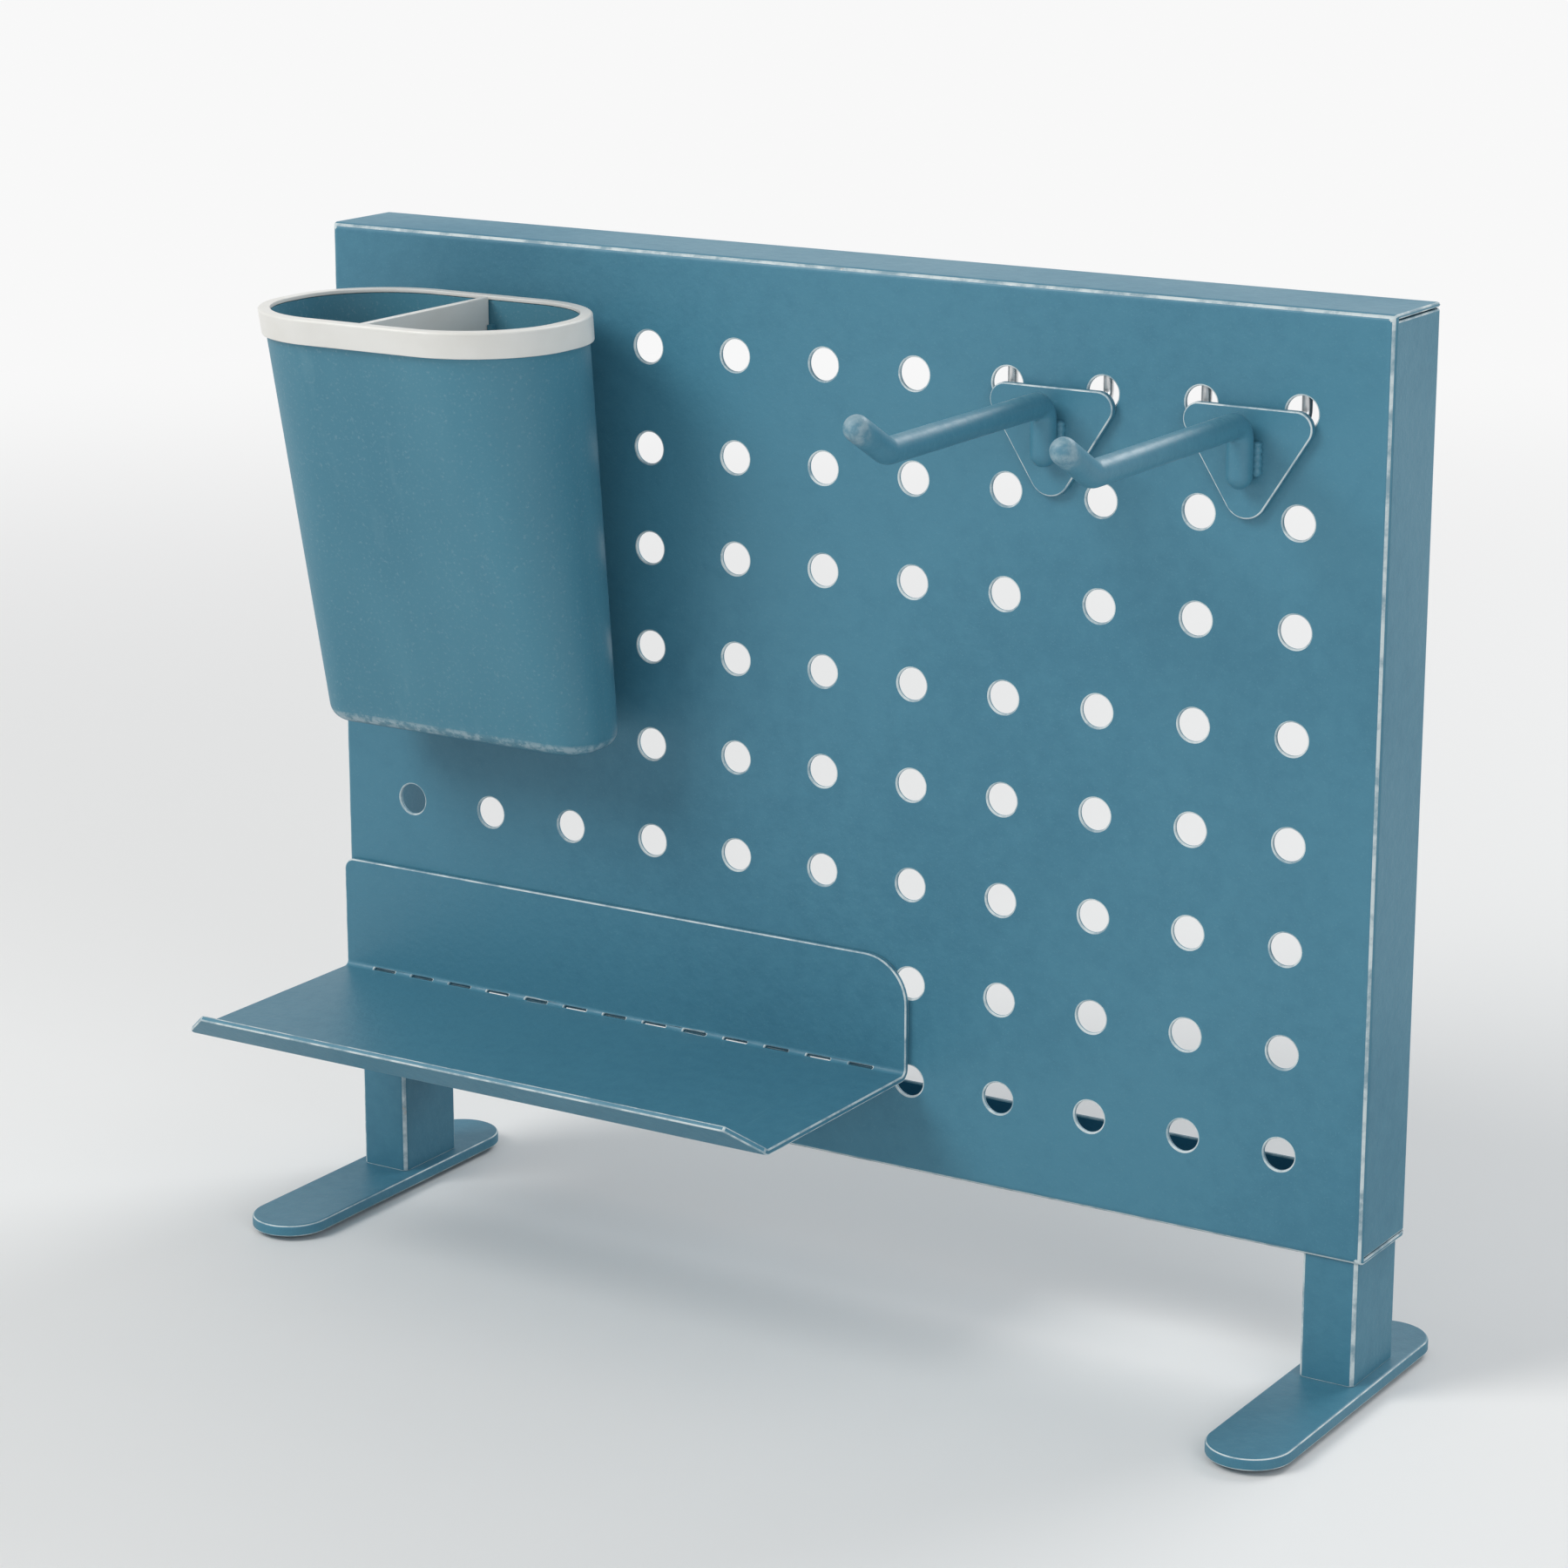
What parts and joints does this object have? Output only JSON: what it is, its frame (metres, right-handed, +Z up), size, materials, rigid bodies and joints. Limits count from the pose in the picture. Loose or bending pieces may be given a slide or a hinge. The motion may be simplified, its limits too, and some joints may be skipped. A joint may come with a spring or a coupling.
{
  "type": "pegboard desk organizer",
  "caption": "Desktop steel pegboard on T-shaped legs with a hanging pen cup, a folded shelf and lift-out hooks for desk tools.",
  "frame": {"origin": "middle of the footprint, on the desk under the foot pads", "axes": "+X to the right along the board as its user sees it, +Y away from the user, +Z up"},
  "size_m": [0.3018, 0.1396, 0.2618],
  "materials": {
    "coated_steel": "teal powder coat, satin",
    "cup_plastic": "fine matt, moulded in teal",
    "trim_plastic": "off-white, satin",
    "dark_plastic": "charcoal, matt",
    "zinc_steel": "bright zinc plate",
    "rubber": "black, matt"
  },
  "bodies": {
    "stand": {"pegboard_panel": "coated_steel", "left_post": "coated_steel", "left_post_cap": "dark_plastic", "left_post_plug": "dark_plastic", "left_post_nuts": "zinc_steel", "left_post_screws": "zinc_steel", "left_foot": "coated_steel", "left_foot_screws": "zinc_steel", "left_foot_pads": "rubber", "right_post": "coated_steel", "right_post_cap": "dark_plastic", "right_post_plug": "dark_plastic", "right_post_nuts": "zinc_steel", "right_post_screws": "zinc_steel", "right_foot": "coated_steel", "right_foot_screws": "zinc_steel", "right_foot_pads": "rubber"},
    "hanger": {"cup_hanger": "coated_steel", "hanger_tabs": "zinc_steel"},
    "cup": {"cup_body": "cup_plastic", "cup_rim": "trim_plastic", "cup_cleat": "coated_steel", "cup_rivets": "zinc_steel", "cup_bumpers": "rubber"},
    "divider": {"cup_divider": "trim_plastic"},
    "shelf": {"shelf_tray": "coated_steel", "shelf_tabs": "zinc_steel"},
    "left_hook": {"left_hook_plate": "coated_steel", "left_hook_rod": "coated_steel", "left_hook_prongs": "zinc_steel"},
    "right_hook": {"right_hook_plate": "coated_steel", "right_hook_rod": "coated_steel", "right_hook_prongs": "zinc_steel"}
  },
  "joints": [
    {"name": "left_hook_tilt", "type": "hinge", "parent": "stand", "child": "left_hook", "pos_m": [0.0635, 0.02297, 0.2384], "axis": [-1, 0, 0], "range_deg": [0, 75]},
    {"name": "right_hook_tilt", "type": "hinge", "parent": "stand", "child": "right_hook", "pos_m": [0.1143, 0.02297, 0.2384], "axis": [-1, 0, 0], "range_deg": [0, 75]},
    {"name": "shelf_lift", "type": "slide", "parent": "stand", "child": "shelf", "axis": [0, 0, 1], "range_m": [0, 0.0039]},
    {"name": "hanger_lift", "type": "slide", "parent": "stand", "child": "hanger", "axis": [0, 0, 1], "range_m": [0, 0.0039]},
    {"name": "cup_lift", "type": "slide", "parent": "hanger", "child": "cup", "axis": [0, 0, 1], "range_m": [0, 0.03]},
    {"name": "divider_lift", "type": "slide", "parent": "cup", "child": "divider", "axis": [0, 0, 1], "range_m": [0, 0.095]}
  ]
}
